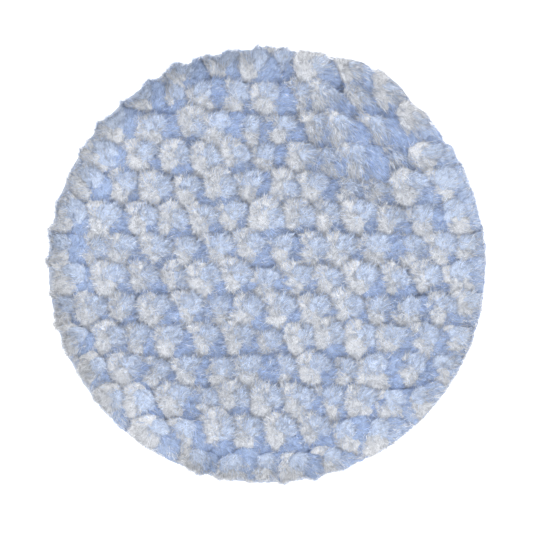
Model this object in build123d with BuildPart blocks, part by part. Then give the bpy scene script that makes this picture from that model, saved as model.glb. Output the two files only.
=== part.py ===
"""Round polishing pad: cut-pile cloth in white and blue yarn on a foam interface, with a loop back.

The pad lies on its loop face. +Z is up, towards the pile, and the origin is the centre of the
loop face. Lengths are millimetres and angles are degrees.
"""

from build123d import *
import math
import os

# Driving dimensions
back_diameter = 80.0  # loop cloth, matched to a 75 to 80 mm backing plate
cloth_diameter = 88.0  # pile cloth and the top of the foam
trim_diameter = 90.0  # the pile is sheared to this round
hole_diameter = 12.0  # centring hole, from the loop face up to the pile cloth

# Thickness of each layer, from the loop face up
loop_nap_height = 1.6
loop_knit_height = 0.6
rear_film_height = 0.2
foam_height = 8.0
front_film_height = 0.2
latex_height = 0.6
ground_height = 0.9
pile_height = 8.0

# Tufts stand in rows along X, and every other row is moved by half a pitch
tuft_pitch = 6.4
row_pitch = 6.14
row_count = 14
edge_margin = 0.1  # the least cloth left outside a root

# One tuft: a root through the cloth, a flare up to the shoulder, and a domed crown
root_radius = 0.8
root_depth = 0.3  # how far a root reaches into the latex
tuft_radius = 3.05
shoulder_height = 3.6  # above the cloth
flare_swell = 0.35  # how far the flare stands out from a straight cone
flare_swell_share = 0.36  # where it does so, as a share of the shoulder's height
dome_width_share = 0.76  # a point on the dome, as shares of its radius and height
dome_height_share = 0.7

# The two plies of a tuft stand side by side, and each fills half of it
ply_arc = 180.0
white_facing = 200.0  # direction that the white half faces, from +X
blue_facing = 20.0

# Foam edge: a straight land at the back, then a hollow flare out to the pile cloth
foam_land = 1.2
foam_flare_sag = 0.8
loop_edge_radius = 0.5
trim_overshoot = 1.0  # the shears reach this far past the crowns

# Places of the layers along Z
loop_knit_base = loop_nap_height
rear_film_base = loop_knit_base + loop_knit_height
foam_base = rear_film_base + rear_film_height
front_film_base = foam_base + foam_height
latex_base = front_film_base + front_film_height
ground_base = latex_base + latex_height
pile_base = ground_base + ground_height
pile_top = pile_base + pile_height
root_base = ground_base - root_depth

back_radius = back_diameter / 2
cloth_radius = cloth_diameter / 2
trim_radius = trim_diameter / 2
hole_radius = hole_diameter / 2
root_limit = cloth_radius - root_radius - edge_margin  # the furthest root from the centre


def row_points(row):
    """The centres of one row's tufts, as (x, y), where the cloth is wide enough to hold them."""
    y = (row - (row_count - 1) / 2) * row_pitch
    offset = (row % 2) * tuft_pitch / 2
    reach = math.ceil(cloth_radius / tuft_pitch)
    places = [offset + step * tuft_pitch for step in range(-reach, reach + 1)]
    return [(x, y) for x in places if math.hypot(x, y) < root_limit]


def save(piece, name):
    """Labels one finished piece and writes it."""
    piece.part.label = name
    export_step(piece.part, f"parts/{name}.step")


def make_loop_nap():
    """The brushed loops that a hook face grips, as the layer of space that they fill."""
    with BuildPart() as nap:
        with BuildSketch():
            Circle(back_radius)
            Circle(hole_radius, mode=Mode.SUBTRACT)
        extrude(amount=loop_nap_height)
        circles = nap.edges().filter_by(GeomType.CIRCLE)
        rim = circles.group_by(Axis.Z)[0].sort_by(SortBy.RADIUS)[-1]
        fillet(rim, radius=loop_edge_radius)
    return nap


def make_ring_layer(base, height, radius):
    """One flat layer of the laminate, with the centring hole through it."""
    with BuildPart() as ring:
        with BuildSketch(Plane.XY.offset(base)):
            Circle(radius)
            Circle(hole_radius, mode=Mode.SUBTRACT)
        extrude(amount=height)
    return ring


def make_foam_core():
    """The foam interface: a ring whose edge flares from the loop cloth out to the pile cloth."""
    top = front_film_base
    land_top = foam_base + foam_land
    middle_radius = (back_radius + cloth_radius) / 2 - foam_flare_sag
    middle_height = (land_top + top) / 2
    with BuildPart() as foam:
        with BuildSketch(Plane.XZ):
            with BuildLine():
                Polyline(
                    (cloth_radius, top),
                    (hole_radius, top),
                    (hole_radius, foam_base),
                    (back_radius, foam_base),
                    (back_radius, land_top),
                )
                ThreePointArc(
                    (back_radius, land_top),
                    (middle_radius, middle_height),
                    (cloth_radius, top),
                )
            make_face()
        revolve(axis=Axis.Z)
    return foam


def make_rooted_layer(base, height, reach, points):
    """One layer of the pile cloth, with a hole for each root that reaches down from its top."""
    with BuildPart() as layer:
        with BuildSketch(Plane.XY.offset(base)):
            Circle(cloth_radius)
        extrude(amount=height)
        with Locations(Plane.XY.offset(base + height)):
            with Locations(*points):
                Hole(root_radius, depth=reach)
    return layer


def make_ply(facing):
    """One ply of a tuft on the Z axis, as the half of the tuft that faces one way."""
    shoulder = pile_base + shoulder_height
    dome_height = pile_top - shoulder
    flare_mid = (
        (root_radius + tuft_radius) / 2 + flare_swell,
        pile_base + shoulder_height * flare_swell_share,
    )
    dome_mid = (tuft_radius * dome_width_share, shoulder + dome_height * dome_height_share)
    with BuildPart() as ply:
        with BuildSketch(Plane.XZ.rotated((0, 0, facing - ply_arc / 2))):
            with BuildLine():
                Polyline(
                    (0, pile_top),
                    (0, root_base),
                    (root_radius, root_base),
                    (root_radius, pile_base),
                )
                ThreePointArc((root_radius, pile_base), flare_mid, (tuft_radius, shoulder))
                ThreePointArc((tuft_radius, shoulder), dome_mid, (0, pile_top))
            make_face()
        revolve(axis=Axis.Z, revolution_arc=ply_arc)
    return ply


def make_ply_row(ply, points):
    """One colour of one row: the same ply at each place, sheared where it passes the pad's edge."""
    with BuildPart() as row:
        with Locations(*points):
            add(ply.part)
        with Locations((0, 0, root_base)):
            Cylinder(
                trim_radius,
                pile_top - root_base + trim_overshoot,
                align=(Align.CENTER, Align.CENTER, Align.MIN),
                mode=Mode.INTERSECT,
            )
    return row


os.makedirs("parts", exist_ok=True)

rows = [row_points(row) for row in range(row_count)]
all_points = [point for points in rows for point in points]

save(make_loop_nap(), "loop_nap")
save(make_ring_layer(loop_knit_base, loop_knit_height, back_radius), "loop_knit")
save(make_ring_layer(rear_film_base, rear_film_height, back_radius), "rear_bond_film")
save(make_foam_core(), "foam_core")
save(make_ring_layer(front_film_base, front_film_height, cloth_radius), "front_bond_film")
save(make_rooted_layer(latex_base, latex_height, root_depth, all_points), "latex_backcoat")
save(make_rooted_layer(ground_base, ground_height, ground_height, all_points), "ground_cloth")

white_ply = make_ply(white_facing)
blue_ply = make_ply(blue_facing)
for number, points in enumerate(rows, start=1):
    save(make_ply_row(white_ply, points), f"white_yarn_row_{number:02d}")
    save(make_ply_row(blue_ply, points), f"blue_yarn_row_{number:02d}")

print("tufts", len(all_points), "in", row_count, "rows; height", round(pile_top, 2))
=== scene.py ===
import math

import bpy
import numpy as np
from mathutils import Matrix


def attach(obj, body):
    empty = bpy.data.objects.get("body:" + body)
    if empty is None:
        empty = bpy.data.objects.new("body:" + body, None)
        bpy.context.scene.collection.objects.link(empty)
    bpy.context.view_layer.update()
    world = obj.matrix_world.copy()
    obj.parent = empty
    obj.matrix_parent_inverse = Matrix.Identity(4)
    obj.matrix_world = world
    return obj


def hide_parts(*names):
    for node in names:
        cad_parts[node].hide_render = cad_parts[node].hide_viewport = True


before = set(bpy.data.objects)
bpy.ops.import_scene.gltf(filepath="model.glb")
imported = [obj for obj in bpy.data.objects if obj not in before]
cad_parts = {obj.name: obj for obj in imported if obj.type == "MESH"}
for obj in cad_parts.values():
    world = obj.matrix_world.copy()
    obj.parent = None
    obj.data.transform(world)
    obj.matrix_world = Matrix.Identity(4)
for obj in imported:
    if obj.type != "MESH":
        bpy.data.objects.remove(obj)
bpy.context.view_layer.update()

MM = 0.001  # lengths in this script are in millimetres, apart from the studio's

# The cloth's pattern, as in the CAD: rows along X, with every other row moved by half a pitch
TUFT_PITCH = 6.4
ROW_PITCH = 6.14
ROWS = 14
ROOT_LIMIT = 43.1

# Heights above the loop face
NAP_TOP = 1.6
KNIT_TOP = 2.2
FOAM_BASE = 2.4
FOAM_TOP = 10.4
GROUND_BASE = 11.2
GROUND_TOP = 12.1
CROWN = 20.0

HOLE_RADIUS = 6.0
BACK_RADIUS = 40.0
CLOTH_RADIUS = 44.0
PILE_RADIUS = 44.5  # about where the sheared edge lies

TUFT_RADIUS = 3.7
TILT = 0.16  # rise of a tuft's dome towards +Y
CORE_BASE = GROUND_TOP - 0.6  # the cores start inside the ground cloth
CORE_BELOW_CROWN = 0.3  # a core ends this far under its crown

DENSITY = 28  # hairs for each square millimetre of core that shows
FEWEST_HAIRS, MOST_HAIRS = 50, 600  # on one core
SIDES = 3  # of a hair, and of a loop under the back
THICKEST = 0.4  # how far along a hair it is thickest
WISPS = 0.1  # share of the hairs that stand up

# The patch near the upper right where the fibres lie over, combed towards the lower right
SWIRL_X, SWIRL_Y = 22, 29
SWIRL_ANGLE = -62  # degrees
LEAST_COMBED = 0.35  # how strongly the fibres lie over away from that patch

# Each tuft's white ply meets its blue one along a seam
SEAM_ANGLE = 38  # degrees, from the white ply towards the blue one
MINGLE_HEIGHT = 16.8  # below it, hairs have their own strand's colour


# Mesh helpers

def new_object(name, verts, faces_by_size, attributes=None):
    """A smooth mesh object from vertices in millimetres and lists of faces, one array for each face size.

    attributes are numbers for each vertex, by name, for the material to read.
    """
    mesh = bpy.data.meshes.new(name)
    verts = np.asarray(verts, dtype=np.float64) * MM
    loops = np.concatenate([f.ravel() for f in faces_by_size])
    sizes = np.concatenate([np.full(len(f), f.shape[1]) for f in faces_by_size])
    starts = np.concatenate([[0], np.cumsum(sizes)[:-1]])
    mesh.vertices.add(len(verts))
    mesh.vertices.foreach_set("co", verts.ravel())
    mesh.loops.add(len(loops))
    mesh.loops.foreach_set("vertex_index", loops.astype(np.int32))
    mesh.polygons.add(len(sizes))
    mesh.polygons.foreach_set("loop_start", starts.astype(np.int32))
    mesh.polygons.foreach_set("use_smooth", np.full(len(sizes), True))
    mesh.update(calc_edges=True)
    for key, values in (attributes or {}).items():
        mesh.attributes.new(key, "FLOAT", "POINT").data.foreach_set("value", values)
    mesh.validate()
    obj = bpy.data.objects.new(name, mesh)
    bpy.context.scene.collection.objects.link(obj)
    return obj


def smoothstep(a, b, x):
    """From 0 where x is a to 1 where it is b, levelling out at both."""
    t = np.clip((x - a) / (b - a), 0, 1)
    return t * t * (3 - 2 * t)


def bump(x, middle, width):
    """A smooth bump, 1 high."""
    return np.exp(-(((x - middle) / width) ** 2))


def heading(x, y):
    """The direction from the centre, in degrees."""
    return np.degrees(np.arctan2(y, x))


def waves(points, scale, seed, count=6):
    """Smooth noise around 0 as three components, from a few plane waves about `scale` long."""
    rng = np.random.default_rng(seed)
    total = np.zeros(points.shape)
    for _ in range(count):
        wave = rng.normal(size=(3, 3))
        wave *= (2 * math.pi / scale) * rng.uniform(0.6, 1.5) / np.linalg.norm(wave, axis=1)[:, None]
        total += np.sin(points @ wave.T + rng.uniform(0, 2 * math.pi, 3))
    return total / math.sqrt(count)


def unit(v):
    return v / np.maximum(np.linalg.norm(v, axis=-1, keepdims=True), 1e-9)


def band(low, high, around):
    """The quads between two rings of `around` vertices each, numbered low and high."""
    ring = np.arange(around)
    nxt = (ring + 1) % around
    low, high = low * around, high * around
    return np.column_stack([low + ring, low + nxt, high + nxt, high + ring])


# The pile

def outline(angle):
    """The sheared edge's distance from the centre, for directions in degrees."""
    a = (angle + 180) % 360 - 180
    r = PILE_RADIUS + 0.3 * np.cos(np.radians(a - 45))
    # It stands out at the upper right in two lumps with a notch between them, and a little at the left
    r += 1.3 * bump(a, 60, 8.0)
    r += 0.6 * bump(a, 37, 4.5)
    r -= 0.5 * bump(a, 48.5, 2.0)
    r += 0.25 * bump(a, 180, 20)
    # Where the edge is loose, it goes in and out with the tufts
    t = np.radians(a)
    scallop = 1.4 * np.abs(np.sin(22.5 * t + 0.4)) - 1.0 + 0.3 * np.sin(13 * t + 0.6) + 0.28 * np.sin(83 * t)
    return r + fluff(angle) * scallop


def fluff(angle):
    """How loose the edge is: 0.12 where it was cut clean, 1 from top to left, 0.82 along the bottom."""
    a = angle % 360
    loose = smoothstep(75, 100, a) * (1 - smoothstep(205, 230, a))
    return 0.12 + 0.88 * loose + 0.7 * smoothstep(236, 250, a) * (1 - smoothstep(280, 296, a))


def near_swirl(x, y, width):
    """A smooth round bump on the combed patch, 1 high."""
    return np.exp(-(((x - SWIRL_X) ** 2 + (y - SWIRL_Y) ** 2) / (2 * width ** 2)))


def nap_angle(x, y):
    """The direction that the fibres are combed in, in degrees."""
    a = 20 - 18 * smoothstep(-5, -35, x) + 14 * smoothstep(5, -30, y) * smoothstep(-25, 10, x)
    swirl = smoothstep(0.25, 0.75, near_swirl(x, y, 12.5))
    return a * (1 - swirl) + SWIRL_ANGLE * swirl


def combed(x, y):
    """How strongly the fibres lie over, from LEAST_COMBED to 1."""
    return LEAST_COMBED + (1 - LEAST_COMBED) * smoothstep(0.3, 0.8, near_swirl(x, y, 13.0))


def roots():
    """The rows and roots of the tufts, as in the CAD: (row, x, y)."""
    found = []
    for row in range(ROWS):
        y = (row - (ROWS - 1) / 2) * ROW_PITCH
        x = (row % 2) * TUFT_PITCH / 2 + TUFT_PITCH * np.arange(-8, 9)  # more than fit
        x = x[np.hypot(x, y) < ROOT_LIMIT]
        found.append(np.column_stack([np.full(len(x), row), x, np.full(len(x), y)]))
    return np.concatenate(found).T


def settle(x, y, freedom):
    """Crowns spread so that those that are free to move share out the round evenly: (x, y, share of it)."""
    grid = np.arange(-46, 46, 0.9)  # a little past the edge on each side
    px, py = (g.ravel() for g in np.meshgrid(grid, grid))
    inside = np.hypot(px, py) < outline(heading(px, py)) - 0.3
    px, py = px[inside], py[inside]
    rounds = 6
    for _ in range(rounds):
        owner = np.hypot(px[:, None] - x, py[:, None] - y).argmin(axis=1)
        share = np.bincount(owner, minlength=len(x))
        x = x + freedom * (np.bincount(owner, px, minlength=len(x)) / share - x)
        y = y + freedom * (np.bincount(owner, py, minlength=len(x)) / share - y)
    return x, y, share / share.mean()


def tuft_table():
    """One line of numbers for each tuft.

    They are its row, root x, root y, crown x, crown y, crown height, size, seam turn, and how much
    it belongs to the rim, from 0 to 1.
    """
    rng = np.random.default_rng(41)
    row, x, y = roots()
    n = len(x)
    inset = outline(heading(x, y)) - np.hypot(x, y)
    crown_x, crown_y, share = settle(x, y, 0.5 * smoothstep(9, 5, inset))
    toward = heading(crown_x, crown_y)
    rim = smoothstep(8.5, 6.0, outline(toward) - np.hypot(crown_x, crown_y))
    comb = 0.4 * combed(x, y)
    nap = np.radians(nap_angle(x, y))
    loose = 1 + 0.5 * smoothstep(5, 20, y)
    crown_x += 0.5 * (1 - rim) + comb * np.cos(nap) + rng.normal(0, 0.36, n) * loose
    crown_y += -0.15 * (1 - rim) + comb * np.sin(nap) + rng.normal(0, 0.3, n) * loose
    crown_y -= rim * bump(toward, -92, 32)
    size = rng.uniform(0.95, 1.1, n) * np.clip(share ** 0.7, 0.95, 1.22)
    top = CROWN - 0.7 + rng.normal(0, 0.2, n)
    turn = rng.normal(0, 0.34, n) + 0.7 * rim * bump(toward, -50, 36)
    return np.column_stack([row, x, y, crown_x, crown_y, top, size, turn, rim])


# Columns of the table
ROW, CROWN_X, CROWN_Y, TURN, RIM = 0, 3, 4, 7, 8


# Each ply of a tuft is two strands: colour, direction from the tuft's axis in degrees, distance from it,
# drop under the crown, share of a full radius, and how much of it is cut tips. Cut tips take the yarn's
# painted light and shade by height, and the rest keep its low colour: blue painted darker, as shade, white
# lighter, against it
STRANDS = (
    ("white", 216, 1.35, 0.00, 0.75, 1.0),
    ("white", 150, 2.20, 0.40, 0.82, 0.5),
    ("blue", 60, 1.10, 0.00, 0.69, 1.0),
    ("blue", -40, 2.90, 0.20, 1.0, 0.0),
)

# A core's full radius at shares of its height
CORE_AT = [0, 0.1, 0.3, 0.5, 0.72, 0.83, 0.91, 0.97, 1]
CORE_RADIUS = [0.8, 1.0, 2.2, 3.4, 3.9, 3.75, 3.5, 3.0, 1.9]


def strand_core(tuft, strand, seed):
    """A closed lumpy lobe for one strand of a tuft, from its root up to the crown: (verts, quads, tris)."""
    around, up = 20, 14
    _, x, y, cx, cy, top, size, turn, rim = tuft
    _, degrees, distance, drop, share, tips = strand
    distance *= 1 - 0.15 * rim
    comb = (float(combed(cx, cy)) - LEAST_COMBED) / (1 - LEAST_COMBED)
    # In the combed patch the deep blue strands come up and the others draw back
    if tips < 0.3:
        drop -= 0.3 * comb
        share *= 1 + 0.12 * comb
    else:
        share *= 1 - 0.1 * comb
    facing = math.radians(degrees) + turn
    t = np.linspace(0, 1, up) ** 0.8
    foot = 1.4 * rim * smoothstep(0, 0.12, t) * smoothstep(0.6, 0.25, t)
    profile = (np.interp(t, CORE_AT, CORE_RADIUS) + foot)[:, None] * size * share
    height = (CORE_BASE + (top - drop - CORE_BELOW_CROWN - CORE_BASE) * t)[:, None]
    lean = smoothstep(0, 0.9, t)[:, None]
    angle = np.linspace(0, 2 * math.pi, around, endpoint=False)[None, :]
    along = smoothstep(0.05, 0.6, t)[:, None] * distance * size + np.cos(angle - facing) * profile * 0.92
    across = np.sin(angle - facing) * profile * 1.08
    dx = along * math.cos(facing) - across * math.sin(facing)
    dy = along * math.sin(facing) + across * math.cos(facing)
    # Combing draws the lobe out along the nap
    nap = math.radians(nap_angle(cx, cy))
    forward = (dx * math.cos(nap) + dy * math.sin(nap)) * (1 + 0.2 * comb)
    sideways = (dy * math.cos(nap) - dx * math.sin(nap)) * (1 - 0.15 * comb)
    dx = forward * math.cos(nap) - sideways * math.sin(nap)
    dy = forward * math.sin(nap) + sideways * math.cos(nap)
    verts = np.stack(
        [
            x + (cx - x) * lean + dx,
            y + (cy - y) * lean + dy,
            height + TILT * dy * smoothstep(0.3, 0.8, t)[:, None],
        ],
        axis=-1,
    ).reshape(-1, 3)
    loose = smoothstep(GROUND_TOP, GROUND_TOP + 2, verts[:, 2])[:, None]
    verts += (waves(verts, 2.4, seed) * 0.14 + waves(verts, 1.1, seed + 1) * 0.06) * loose
    # Cores stop short of the sheared edge, and hairs cover the rest
    reach = np.hypot(verts[:, 0], verts[:, 1])
    toward = heading(verts[:, 0], verts[:, 1])
    limit = outline(toward) - 0.35 - 0.7 * fluff(toward)
    verts[:, :2] *= np.minimum(1, limit / reach)[:, None]
    quads = np.concatenate([band(k, k + 1, around) for k in range(up - 1)])
    bottom, crown = len(verts), len(verts) + 1
    ends = np.array([verts[:around].mean(axis=0), verts[-around:].mean(axis=0) + (0, 0, 0.05)])
    verts = np.concatenate([verts, ends])
    ring = np.arange(around)
    nxt = (ring + 1) % around
    top_ring = (up - 1) * around
    tris = np.concatenate(
        [
            np.column_stack([nxt, ring, np.full(around, bottom)]),
            np.column_stack([top_ring + ring, top_ring + nxt, np.full(around, crown)]),
        ]
    )
    return verts, quads, tris


# The height map is a square of small cells around the pad's axis
CELL = 0.25
MAP_REACH = 48


def cell_of(points):
    """The cell of the height map that each point is over."""
    return tuple(((points[:, k] + MAP_REACH) / CELL).astype(int) for k in (0, 1))


def height_map(cores):
    """The height of the highest core over each cell."""
    cells_across = int(2 * MAP_REACH / CELL)
    heights = np.zeros((cells_across, cells_across))
    for verts, quads, _ in cores:
        a, b, c, d = (verts[quads[:, k]] for k in range(4))
        for u in (0.1, 0.5, 0.9):
            for v in (0.1, 0.5, 0.9):
                p = (a * (1 - u) + b * u) * (1 - v) + (d * (1 - u) + c * u) * v
                np.maximum.at(heights, cell_of(p), p[:, 2])
    return heights


def scatter(core, heights, tuft, rng):
    """Points on the part of a core that shows, with the surface's direction at each: (points, normals)."""
    verts, quads, tris = core
    faces = np.concatenate([quads[:, [0, 1, 2]], quads[:, [0, 2, 3]], tris])
    a, b, c = (verts[faces[:, k]] for k in range(3))
    cross = np.cross(b - a, c - a)
    twice_area = np.linalg.norm(cross, axis=1)
    normal = cross / np.maximum(twice_area, 1e-9)[:, None]
    middle = (a + b + c) / 3
    z = middle[:, 2]
    # From above, what shows is high up, faces up and has no other core well over it
    shows = smoothstep(16.0, 17.6, z) * smoothstep(-0.2, 0.2, normal[:, 2])
    shows *= smoothstep(0.9, 0.4, heights[cell_of(middle)] - z)
    # From the side, it is the outward faces of the rim, down to the ground cloth
    outward = (unit(middle[:, :2]) * normal[:, :2]).sum(axis=1)
    shows = np.maximum(shows, tuft[RIM] * smoothstep(0, 0.5, outward) * smoothstep(12.0, 13.0, z))
    weight = 0.5 * twice_area * shows * (1 + 0.9 * np.clip(normal[:, 2], 0, 1) ** 4)
    count = int(np.clip(DENSITY * weight.sum(), FEWEST_HAIRS, MOST_HAIRS))
    pick = rng.choice(len(faces), count, p=weight / weight.sum())
    u, v = rng.uniform(0, 1, (2, count, 1))
    flip = u + v > 1
    u, v = np.where(flip, 1 - u, u), np.where(flip, 1 - v, v)
    return a[pick] + u * (b[pick] - a[pick]) + v * (c[pick] - a[pick]), normal[pick]


def hairs(points, normals, tuft, rng):
    """Roots, directions, bends, lengths and widths of the hairs at these points."""
    n = len(points)
    nap = np.radians(nap_angle(points[:, 0], points[:, 1]))
    comb = combed(points[:, 0], points[:, 1])
    zero = np.zeros(n)
    axis = np.column_stack([np.cos(nap), np.sin(nap), zero])
    across = np.column_stack([-np.sin(nap), np.cos(nap), zero])
    # Hairs lie out from the middle of the tuft, and along the nap where they are combed
    spread = (points - np.array([tuft[CROWN_X], tuft[CROWN_Y], 0])) / TUFT_RADIUS
    spread[:, 2] = 0
    flow = axis * (0.75 * (spread * axis).sum(axis=1) + 0.25 + 1.4 * (comb - LEAST_COMBED))[:, None]
    flow += across * (0.5 * (spread * across).sum(axis=1))[:, None]
    # At the rim they lie outwards as well, and everywhere they stray, together and one by one
    toward = heading(points[:, 0], points[:, 1])
    pull = tuft[RIM] * (0.4 + 0.5 * fluff(toward))
    outward = np.column_stack([unit(points[:, :2]), zero]) * pull[:, None]
    clump = waves(points, 1.6, 5) * 0.4
    loose = rng.normal(0, 0.18, (n, 3)) * (1.3 - 0.8 * comb)[:, None]
    flow = flow + outward + clump + loose
    flow -= normals * (flow * normals).sum(axis=1)[:, None]
    wisp = rng.uniform(0, 1, n) < WISPS
    lift = np.where(wisp, rng.uniform(0.3, 0.6, n), rng.uniform(0.08, 0.28, n))[:, None]
    start = unit(unit(flow) + normals * lift)
    bend = unit(flow) * 0.3 - normals * lift * 0.9 + rng.normal(0, 0.14, (n, 3))
    length = rng.uniform(0.8, 1.9, n) * (1 + 0.6 * np.maximum(comb - 0.4, 0))
    width = rng.uniform(0.038, 0.066, n) * np.where(wisp, 0.8, 1)
    sunk = 0.06  # roots start this far inside the core
    return points - normals * sunk, start, bend, length, width


def shear(points, cut):
    """Points of hairs, (n, points, 3), kept inside the round and under the height that they were cut to."""
    angle = heading(points[..., 0], points[..., 1])
    reach = np.hypot(points[..., 0], points[..., 1])
    limit = outline(angle) + cut[:, None] * fluff(angle)
    scale = np.minimum(1, limit / np.maximum(reach, 1e-6))
    points[..., 0] *= scale
    points[..., 1] *= scale
    # What would stand over the crown is pressed down to a quarter of that
    over = points[..., 2] - CROWN
    points[..., 2] = np.where(over > 0, CROWN + 0.25 * over, points[..., 2])
    return points


def fibre_mesh(root, start, bend, length, width, cut):
    """Closed hairs, each a bent spindle that runs out to a point at both ends: (verts, quads, tris)."""
    n = len(root)
    s = np.array([0, THICKEST, 1])[None, :, None]
    path = root[:, None, :] + length[:, None, None] * (start[:, None, :] * s + 0.5 * bend[:, None, :] * s * s)
    path = shear(path, cut)
    tangent = unit(path[:, 2] - path[:, 0])
    side = unit(np.cross(tangent, np.array([0.13, -0.21, 0.97])))
    up = np.cross(side, tangent)
    verts = np.empty((n, SIDES + 2, 3))
    for k in range(SIDES):
        a = 2 * math.pi * k / SIDES
        verts[:, k] = path[:, 1] + width[:, None] * (math.cos(a) * side + math.sin(a) * up)
    verts[:, SIDES] = path[:, 0]
    verts[:, SIDES + 1] = path[:, 2]
    base = (np.arange(n) * (SIDES + 2))[:, None]
    tris = []
    for k in range(SIDES):
        nxt = (k + 1) % SIDES
        tris.append(base + np.array([nxt, k, SIDES]))
        tris.append(base + np.array([k, nxt, SIDES + 1]))
    return verts.reshape(-1, 3), np.empty((0, 4), int), np.concatenate(tris)


def join(parts):
    """One (verts, quads, tris) from several."""
    counts = np.cumsum([0] + [len(p[0]) for p in parts[:-1]])
    return (
        np.concatenate([p[0] for p in parts]),
        np.concatenate([p[1] + c for p, c in zip(parts, counts)]),
        np.concatenate([p[2] + c for p, c in zip(parts, counts)]),
    )


def edge_looseness(points):
    """How loose the nearest edge is, from 0 to 1, and how far in from it each point is."""
    angle = heading(points[:, 0], points[:, 1])
    return np.clip(fluff(angle), 0, 1), outline(angle) - np.hypot(points[:, 0], points[:, 1])


def loose_edge(points):
    """How near these points are to the loose part of the edge, from 0 to 1."""
    looseness, inset = edge_looseness(points)
    return looseness * smoothstep(7.0, 1.0, inset)


def clean_edge(points):
    """How near these points are to the part that was cut clean, high up, from 0 to 1."""
    looseness, inset = edge_looseness(points)
    return (1 - looseness) * smoothstep(5.0, 1.0, inset) * smoothstep(17.0, 18.4, points[:, 2])


def is_blue(points, tuft, strand, rng):
    """Which hairs are blue.

    The colours mingle over a tuft's crown, change across its seam and stay apart on the lower strands.
    The loose edge is bluer along the top and whiter along the bottom, and the clean edge is whiter.
    """
    colour, tips = strand[0], strand[5]
    facing = math.radians(SEAM_ANGLE) + tuft[TURN]
    dx = points[:, 0] - tuft[CROWN_X]
    dy = points[:, 1] - tuft[CROWN_Y]
    across = dx * math.cos(facing) + dy * math.sin(facing)
    crown = 0.05 + 0.74 * smoothstep(-1.7, 1.4, across)
    flank = 0.36 if colour == "white" else 0.95
    part = np.where(tips == 1.0, crown, flank)
    upper = smoothstep(-12, 12, points[:, 1])
    part = part + (0.6 * upper - 0.2) * loose_edge(points) - 0.6 * clean_edge(points)
    part = np.where(points[:, 2] < MINGLE_HEIGHT, float(colour == "blue"), part)
    return rng.uniform(0, 1, len(points)) < part


def pile_row(tufts, cores, heights):
    """The two colours of one row of tufts, as lumpy lobes covered in hairs: {colour: mesh object}."""
    row = int(tufts[0, ROW])
    rng = np.random.default_rng(700 + row)
    parts = {"white": [], "blue": []}
    tones = {"white": [], "blue": []}
    found = {"white": [], "blue": []}
    for tuft, strand_cores in zip(tufts, cores):
        for strand, core in zip(STRANDS, strand_cores):
            colour, tips = strand[0], strand[5]
            parts[colour].append(core)
            # Tones say how much of the painted light and shade by height a strand takes; near the clean edge,
            # high up, the lower strands take more of it
            tones[colour].append(tips + (1 - tips) * 0.7 * clean_edge(core[0]))
            points, normals = scatter(core, heights, tuft, rng)
            data = (*hairs(points, normals, tuft, rng), np.full(len(points), tips))
            blue = is_blue(points, tuft, strand, rng)
            found["white"].append([d[~blue] for d in data])
            found["blue"].append([d[blue] for d in data])
    pieces = {}
    for colour in parts:
        *data, hair_tones = [np.concatenate(column) for column in zip(*found[colour])]
        cut = rng.uniform(-0.6, 1.0, len(data[0]))
        core_tones = np.concatenate(tones[colour])
        verts, quads, tris = join(parts[colour] + [fibre_mesh(*data, cut)])
        # The attributes carry how much painted light and shade by height each vertex takes, whether it is on
        # a hair, and the painted shade along the loose edge
        attributes = {
            "tips": np.concatenate([core_tones, np.repeat(hair_tones, SIDES + 2)]),
            "hair": np.arange(len(verts)) >= len(core_tones),
            "painted_edge_shade": loose_edge(verts),
        }
        name = f"{colour}_pile_row_{row + 1:02d}"
        pieces[colour] = new_object(name, verts, [quads, tris], attributes)
    return pieces


# Round layers

def ring_shell(name, inner, outer, low, high, step, relief_low=None, relief_high=None, edge=None):
    """A closed round layer with relief on its faces and edge, in quads about `step` long.

    inner 0 makes a full disc.
    """
    around = max(48, int(2 * math.pi * outer / step))
    across = max(4, int((outer - inner) / step))
    up = max(2, int((high - low) / step) + 1)
    angle = np.linspace(0, 2 * math.pi, around, endpoint=False)
    radii = np.linspace(max(inner, step * 0.5), outer, across + 1)
    heights = np.linspace(low, high, up + 1)
    # The section runs out along the bottom, up the edge and back in along the top
    section = [(r, low, "low") for r in radii[:-1]]
    section += [(outer, z, "edge") for z in heights]
    section += [(r, high, "high") for r in radii[:-1][::-1]]
    if inner:
        section += [(inner, z, "bore") for z in heights[1:-1][::-1]]
    verts = []
    for r, z, kind in section:
        p = np.column_stack([r * np.cos(angle), r * np.sin(angle), np.full(around, z)])
        if edge is not None and kind in ("edge", "bore"):
            out = edge(p)
            sign = 1 if kind == "edge" else -1
            p[:, 0] += sign * out * np.cos(angle)
            p[:, 1] += sign * out * np.sin(angle)
        verts.append(p)
    verts = np.concatenate(verts)
    if relief_low is not None:
        pick = np.isclose(verts[:, 2], low)
        verts[pick, 2] += relief_low(verts[pick])
    if relief_high is not None:
        pick = np.isclose(verts[:, 2], high)
        verts[pick, 2] += relief_high(verts[pick])
    rows = len(section)
    last = rows if inner else rows - 1
    faces = [np.concatenate([band(k, (k + 1) % rows, around) for k in range(last)])]
    if not inner:
        ring = np.arange(around)
        nxt = (ring + 1) % around
        bottom, top = len(verts), len(verts) + 1
        ends = np.array([verts[:around].mean(axis=0), verts[-around:].mean(axis=0)])
        verts = np.concatenate([verts, ends])
        top_ring = (rows - 1) * around
        fans = [
            np.column_stack([nxt, ring, np.full(around, bottom)]),
            np.column_stack([top_ring + ring, top_ring + nxt, np.full(around, top)]),
        ]
        faces.append(np.concatenate(fans))
    return new_object(name, verts, faces)


def weave(depth, pitch):
    """Relief of a plain weave."""
    def relief(p):
        u, v = p[:, 0] * math.pi / pitch, p[:, 1] * math.pi / pitch
        return depth * np.sin(u) * np.sin(v)
    return relief


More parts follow.
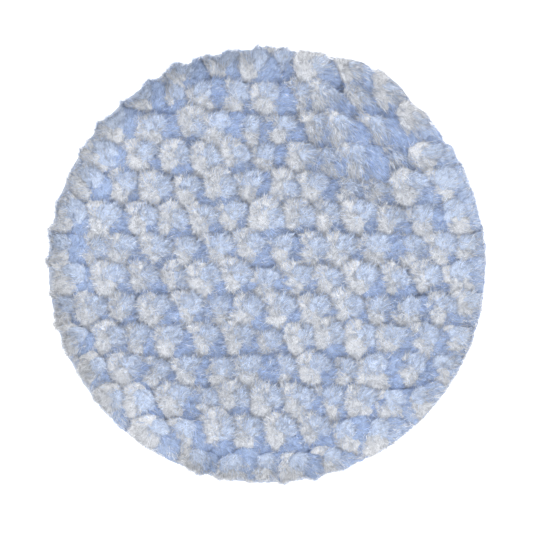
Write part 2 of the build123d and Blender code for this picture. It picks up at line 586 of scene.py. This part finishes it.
def knit(depth, wale, course):
    """Relief of a warp knit: ribs with a small zigzag."""
    def relief(p):
        along = 2 * math.pi * p[:, 1] / course
        sway = 0.2 * wale * np.sin(along)
        rib = np.cos(2 * math.pi * (p[:, 0] + sway) / wale)
        return depth * rib * (0.7 + 0.3 * np.cos(2 * along))
    return relief


FOAM_EDGE = 8.4  # over the step, this is how many rows of quads go up the edge
FOAM_LAND = 1.2  # height of the edge's straight part, at the bottom
FOAM_HOLLOW = 0.8  # how deep the rest of it curves in


def foam_piece():
    """The foam interface, with a hollow flared edge and open cells."""
    step = 0.32
    around = int(2 * math.pi * CLOTH_RADIUS / step)
    up = int(FOAM_EDGE / step)
    angle = np.linspace(0, 2 * math.pi, around, endpoint=False)
    # The edge is straight over its land, then flares out in a hollow curve
    t = np.linspace(0, 1, up + 1)
    z = FOAM_BASE + t * (FOAM_TOP - FOAM_BASE)
    land = FOAM_LAND / (FOAM_TOP - FOAM_BASE)
    s = np.clip((t - land) / (1 - land), 0, 1)
    r = BACK_RADIUS + (CLOTH_RADIUS - BACK_RADIUS) * s - 4 * FOAM_HOLLOW * s * (1 - s)
    # Rings between the bore and the edge keep the quads of the flat faces short
    between = (12, 20, 28, 36)
    section = [(HOLE_RADIUS, zz, "bore") for zz in z[::-1]]
    section += [(v, FOAM_BASE, "flat") for v in between]
    section += [(rr, zz, "edge") for rr, zz in zip(r, z)]
    section += [(v, FOAM_TOP, "flat") for v in between[::-1]]
    verts = []
    for rr, zz, kind in section:
        p = np.column_stack([rr * np.cos(angle), rr * np.sin(angle), np.full(around, zz)])
        # Cells are hollowed out of the bore and the edge, and less deeply where the edge meets the flat faces
        if kind == "edge":
            inside = 0.15 + 0.85 * smoothstep(0, 0.5, min(zz - FOAM_BASE, FOAM_TOP - zz))
            depth = cells(p) * inside
            p[:, 0] -= depth * np.cos(angle)
            p[:, 1] -= depth * np.sin(angle)
        elif kind == "bore":
            depth = cells(p) * 0.8
            p[:, 0] += depth * np.cos(angle)
            p[:, 1] += depth * np.sin(angle)
        verts.append(p)
    rows = len(section)
    quads = [band(k, (k + 1) % rows, around) for k in range(rows)]
    return new_object("foam_core_body", np.concatenate(verts), [np.concatenate(quads)])


def cells(p):
    """How deep the open cells are at each point."""
    w = waves(p, 1.1, 77, 7)
    fine = waves(p, 0.7, 78, 6)
    value = w[:, 0] + 0.6 * w[:, 1] + 0.7 * fine[:, 0]
    return 0.28 * smoothstep(0.35, 1.5, value)


def loop_nap_piece():
    """The brushed loops under the back: closed bent tubes on their cloth."""
    rng = np.random.default_rng(9)
    step = 1.12
    places = []
    count = int(BACK_RADIUS / step) + 1
    for i in range(-count, count + 1):
        for j in range(-count, count + 1):
            x = (i + 0.5 * (j % 2)) * step + rng.normal(0, 0.2)
            y = j * step * 0.9 + rng.normal(0, 0.2)
            if HOLE_RADIUS + 0.5 < math.hypot(x, y) < BACK_RADIUS - 0.45:
                places.append((x, y))
    p = np.array(places)
    n = len(p)
    turn = rng.uniform(0, 2 * math.pi, n)
    wide = rng.uniform(0.45, 0.8, n)
    tall = rng.uniform(1.05, 1.5, n)
    lean = rng.normal(0, 0.35, (n, 2))
    width = rng.uniform(0.10, 0.15, n)
    # Each loop is a half circle, drawn out, that starts and ends a little inside the cloth
    bends = 8
    t = np.linspace(-0.12, 1.12, bends)
    a = math.pi * t
    along = np.cos(a)[None, :] * wide[:, None]
    drop = np.clip(np.sin(a), -0.3, 1)[None, :] * tall[:, None]
    x = p[:, :1] + along * np.cos(turn)[:, None] + lean[:, :1] * drop
    y = p[:, 1:] + along * np.sin(turn)[:, None] + lean[:, 1:] * drop
    path = np.stack([x, y, NAP_TOP - drop], axis=-1)
    # They stay inside the back's edge and over the loop face
    reach = np.hypot(path[..., 0], path[..., 1])
    keep = np.minimum(1, (BACK_RADIUS + 0.15) / reach)
    path[..., 0] *= keep
    path[..., 1] *= keep
    path[..., 2] = np.clip(path[..., 2], 0.16, None)
    tangent = unit(np.gradient(path, axis=1))
    plane = np.column_stack([-np.sin(turn), np.cos(turn), np.full(n, 0.1)])
    side = unit(np.cross(tangent, plane[:, None, :]))
    up = np.cross(side, tangent)
    verts = np.empty((n, bends, SIDES, 3))
    for k in range(SIDES):
        b = 2 * math.pi * k / SIDES
        verts[:, :, k] = path + width[:, None, None] * (math.cos(b) * side + math.sin(b) * up)
    base = (np.arange(n) * bends * SIDES)[:, None]
    quads = []
    for ring in range(bends - 1):
        for k in range(SIDES):
            c, d = ring * SIDES + k, ring * SIDES + (k + 1) % SIDES
            quads.append(base + np.array([c, d, d + SIDES, c + SIDES]))
    last = (bends - 1) * SIDES
    tris = np.concatenate([base + np.array([2, 1, 0]), base + np.array([last, last + 1, last + 2])])
    return new_object("loop_nap_loops", verts.reshape(-1, 3), [np.concatenate(quads), tris])


# Materials

def material(name, roughness, sheen=0.0):
    mat = bpy.data.materials.new(name)
    mat.use_nodes = True
    shader = mat.node_tree.nodes["Principled BSDF"]
    shader.inputs["Roughness"].default_value = roughness
    shader.inputs["Specular IOR Level"].default_value = 0.2
    shader.inputs["Sheen Weight"].default_value = sheen
    shader.inputs["Sheen Roughness"].default_value = 0.5
    return mat, mat.node_tree.nodes, mat.node_tree.links, shader


def ramp(nodes, stops):
    node = nodes.new("ShaderNodeValToRGB")
    while len(node.color_ramp.elements) < len(stops):
        node.color_ramp.elements.new(0.5)
    for element, (at, colour) in zip(node.color_ramp.elements, stops):
        element.position = at
        element.color = (*colour, 1)
    return node


def noise_texture(nodes, scale, detail):
    node = nodes.new("ShaderNodeTexNoise")
    node.inputs["Scale"].default_value = scale
    node.inputs["Detail"].default_value = detail
    return node


def attribute(nodes, name):
    node = nodes.new("ShaderNodeAttribute")
    node.attribute_name = name
    return node


def map_range(nodes, source, target):
    """Maps values between the two of source to values between the two of target."""
    node = nodes.new("ShaderNodeMapRange")
    node.inputs["From Min"].default_value, node.inputs["From Max"].default_value = source
    node.inputs["To Min"].default_value, node.inputs["To Max"].default_value = target
    return node


def operation(nodes, kind, name):
    """A Math or a VectorMath node."""
    node = nodes.new(f"ShaderNode{kind}")
    node.operation = name
    return node


def yarn_material(name, low, high, spread):
    """Pile yarn.

    Cut tips go from the colour low to high as they rise, and noise moves that a little everywhere. That is
    painted
    light and shade: low down the blue is painted darker, as shade, and the white lighter, against the shade
    there.
    Then cores have a fine grain and are painted darker than the hairs on the whole, as the shade between
    them, and each hair has its own, within spread of 1. The edge is painted darker, as shade at the rim and
    along the loose edge.
    """
    mat, nodes, links, shader = material(name, 0.85, 0.15)
    coord = nodes.new("ShaderNodeTexCoord")
    split = nodes.new("ShaderNodeSeparateXYZ")
    links.new(coord.outputs["Object"], split.inputs[0])
    height = map_range(nodes, (17.2 * MM, 19.0 * MM), (0, 1))
    links.new(split.outputs["Z"], height.inputs["Value"])
    noise = noise_texture(nodes, 260, 3)
    links.new(coord.outputs["Object"], noise.inputs["Vector"])
    # Painted light and shade by height: low down the blue turns darker, as shade, and the white lighter,
    # against the shade there
    add = operation(nodes, "Math", "MULTIPLY_ADD")
    links.new(noise.outputs["Fac"], add.inputs[0])
    add.inputs[1].default_value = 0.6
    tips = attribute(nodes, "tips")
    painted_height_light = operation(nodes, "Math", "MULTIPLY")
    links.new(height.outputs["Result"], painted_height_light.inputs[0])
    links.new(tips.outputs["Fac"], painted_height_light.inputs[1])
    links.new(painted_height_light.outputs[0], add.inputs[2])
    shift = operation(nodes, "Math", "SUBTRACT")
    links.new(add.outputs[0], shift.inputs[0])
    shift.inputs[1].default_value = 0.3
    colour = ramp(nodes, [(0.0, low), (1.0, high)])
    links.new(shift.outputs[0], colour.inputs["Fac"])

    fuzz = noise_texture(nodes, 4500, 2)
    links.new(coord.outputs["Object"], fuzz.inputs["Vector"])
    # Painted shade: on the whole the cores come out darker than the hairs, standing in for the shade between
    # hairs, with a fine random grain
    core_grain_and_painted_shade = map_range(nodes, (0.35, 0.65), (0.60, 0.96))
    links.new(fuzz.outputs["Fac"], core_grain_and_painted_shade.inputs["Value"])
    on_hair = attribute(nodes, "hair")
    geometry = nodes.new("ShaderNodeNewGeometry")
    hair_shade = map_range(nodes, (0, 1), (1 - spread, 1 + spread))
    links.new(geometry.outputs["Random Per Island"], hair_shade.inputs["Value"])
    both = nodes.new("ShaderNodeMix")
    links.new(on_hair.outputs["Fac"], both.inputs["Factor"])
    links.new(core_grain_and_painted_shade.outputs["Result"], both.inputs["A"])
    links.new(hair_shade.outputs["Result"], both.inputs["B"])
    shaded = operation(nodes, "VectorMath", "SCALE")
    links.new(colour.outputs["Color"], shaded.inputs[0])
    links.new(both.outputs[0], shaded.inputs["Scale"])

    # Painted shade: the yarn is painted darker towards the rim, and darker still along the loose edge
    reach = operation(nodes, "VectorMath", "LENGTH")
    links.new(coord.outputs["Object"], reach.inputs[0])
    edge = map_range(nodes, (41.0 * MM, 47.5 * MM), (1.0, 0.92))
    links.new(reach.outputs["Value"], edge.inputs["Value"])
    painted_edge_shade = attribute(nodes, "painted_edge_shade")
    darker = operation(nodes, "Math", "MULTIPLY_ADD")
    links.new(painted_edge_shade.outputs["Fac"], darker.inputs[0])
    darker.inputs[1].default_value = -0.2
    links.new(edge.outputs["Result"], darker.inputs[2])
    dimmed = operation(nodes, "VectorMath", "SCALE")
    links.new(shaded.outputs["Vector"], dimmed.inputs[0])
    links.new(darker.outputs[0], dimmed.inputs["Scale"])
    links.new(dimmed.outputs["Vector"], shader.inputs["Base Color"])
    return mat


def mottled_material(name, dark, light, roughness, scale, sheen=0.0):
    """A matt surface whose colour and roughness drift a little."""
    mat, nodes, links, shader = material(name, roughness, sheen)
    coord = nodes.new("ShaderNodeTexCoord")
    noise = noise_texture(nodes, scale, 4)
    links.new(coord.outputs["Object"], noise.inputs["Vector"])
    colour = ramp(nodes, [(0.3, dark), (0.7, light)])
    links.new(noise.outputs["Fac"], colour.inputs["Fac"])
    links.new(colour.outputs["Color"], shader.inputs["Base Color"])
    rough = map_range(nodes, (0, 1), (roughness - 0.08, min(1.0, roughness + 0.08)))
    links.new(noise.outputs["Fac"], rough.inputs["Value"])
    links.new(rough.outputs["Result"], shader.inputs["Roughness"])
    return mat


def glowing_white(name, strength):
    """Near-white, and shining a little, so that it looks pure white."""
    mat = mottled_material(name, (0.93, 0.93, 0.93), (0.95, 0.95, 0.95), 0.9, 4)
    shader = mat.node_tree.nodes["Principled BSDF"]
    shader.inputs["Emission Color"].default_value = (1, 1, 1, 1)
    shader.inputs["Emission Strength"].default_value = strength
    return mat


def give(obj, mat):
    obj.data.materials.clear()
    obj.data.materials.append(mat)


# Painted light and shade: each yarn's low colour is for low down, where the blue is painted darker, as shade,
# and the white lighter, against the shade there
WHITE = yarn_material("white_yarn", (0.94, 0.95, 0.98), (0.775, 0.80, 0.855), 0.38)
BLUE = yarn_material("blue_yarn", (0.44, 0.56, 0.825), (0.64, 0.74, 0.935), 0.42)
GROUND = mottled_material("ground_cloth", (0.38, 0.43, 0.54), (0.54, 0.58, 0.66), 0.85, 700)
LATEX = mottled_material("latex", (0.42, 0.41, 0.36), (0.56, 0.55, 0.49), 0.6, 500)
FILM = mottled_material("bond_film", (0.42, 0.42, 0.40), (0.52, 0.52, 0.50), 0.45, 400)
FOAM = mottled_material("foam", (0.012, 0.045, 0.16), (0.065, 0.16, 0.41), 0.85, 1100)
KNIT = mottled_material("loop_knit", (0.36, 0.38, 0.41), (0.50, 0.52, 0.55), 0.8, 700)
LOOPS = mottled_material("loop_cloth", (0.36, 0.38, 0.42), (0.54, 0.56, 0.60), 0.7, 600, sheen=0.2)


# Build the pad

tufts = tuft_table()
cores = [
    [strand_core(tuft, strand, 1000 + 5 * k + j) for j, strand in enumerate(STRANDS)]
    for k, tuft in enumerate(tufts)
]
heights = height_map([core for strand_cores in cores for core in strand_cores])
for row in range(ROWS):
    of_row = np.nonzero(tufts[:, ROW] == row)[0]
    for colour, piece in pile_row(tufts[of_row], [cores[k] for k in of_row], heights).items():
        give(piece, WHITE if colour == "white" else BLUE)
        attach(piece, "root")
        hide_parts(f"{colour}_yarn_row_{row + 1:02d}")

step = 0.55
ground = ring_shell("ground_weave", 0, CLOTH_RADIUS, GROUND_BASE, GROUND_TOP - 0.1, step,
                    relief_high=weave(0.14, 0.9), edge=lambda p: 0.12 * waves(p, 0.8, 31)[:, 0])
give(ground, GROUND)
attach(ground, "root")
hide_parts("ground_cloth")

knit_piece = ring_shell("loop_knit_cloth", HOLE_RADIUS, BACK_RADIUS, NAP_TOP + 0.1, KNIT_TOP, step,
                        relief_low=knit(0.12, 1.1, 1.3), edge=lambda p: 0.08 * waves(p, 0.7, 32)[:, 0])
give(knit_piece, KNIT)
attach(knit_piece, "root")
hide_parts("loop_knit")

loops = loop_nap_piece()
give(loops, LOOPS)
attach(loops, "root")
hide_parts("loop_nap")

foam = foam_piece()
give(foam, FOAM)
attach(foam, "root")
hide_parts("foam_core")

for node, mat in (("rear_bond_film", FILM), ("front_bond_film", FILM), ("latex_backcoat", LATEX)):
    give(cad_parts[node], mat)

# Studio

# A white floor just under the loop face, and a round white wall, open at the top. Lengths here are in metres
bpy.ops.mesh.primitive_plane_add(size=6, location=(0, 0, -0.0002))
floor = bpy.context.object
floor.name = "floor"
give(floor, glowing_white("floor", 0.55))

bpy.ops.mesh.primitive_cylinder_add(
    radius=2.9, depth=2.4, vertices=96, end_fill_type="NOTHING", location=(0, 0, 1.19)
)
wall = bpy.context.object
wall.name = "backdrop"
give(wall, glowing_white("backdrop", 0.6))

world = bpy.data.worlds.new("studio")
bpy.context.scene.world = world
world.use_nodes = True
world.node_tree.nodes["Background"].inputs["Color"].default_value = (1, 1, 1, 1)
world.node_tree.nodes["Background"].inputs["Strength"].default_value = 0.845


def area_light(name, azimuth, elevation, distance, size, power):
    """A soft square light aimed at the pad. azimuth is anticlockwise from +X."""
    data = bpy.data.lights.new(name, "AREA")
    data.size = size
    data.energy = power
    light = bpy.data.objects.new(name, data)
    a, e = math.radians(azimuth), math.radians(elevation)
    light.location = (
        distance * math.cos(e) * math.cos(a),
        distance * math.cos(e) * math.sin(a),
        distance * math.sin(e),
    )
    light.rotation_euler = (math.pi / 2 - e, 0, a + math.pi / 2)
    bpy.context.scene.collection.objects.link(light)


area_light("key", -60, 48, 1.2, 0.9, 1.8)

# The camera looks straight down, from so far that the sides hardly show
camera_data = bpy.data.cameras.new("camera")
camera = bpy.data.objects.new("camera", camera_data)
bpy.context.scene.collection.objects.link(camera)
camera.location = (0.0002, -0.0001, 1.517)
camera.rotation_euler = (0, 0, 0)
camera_data.sensor_width = 36
camera_data.lens = 500
camera_data.clip_end = 20
bpy.context.scene.camera = camera
bpy.context.scene.view_settings.view_transform = "Standard"
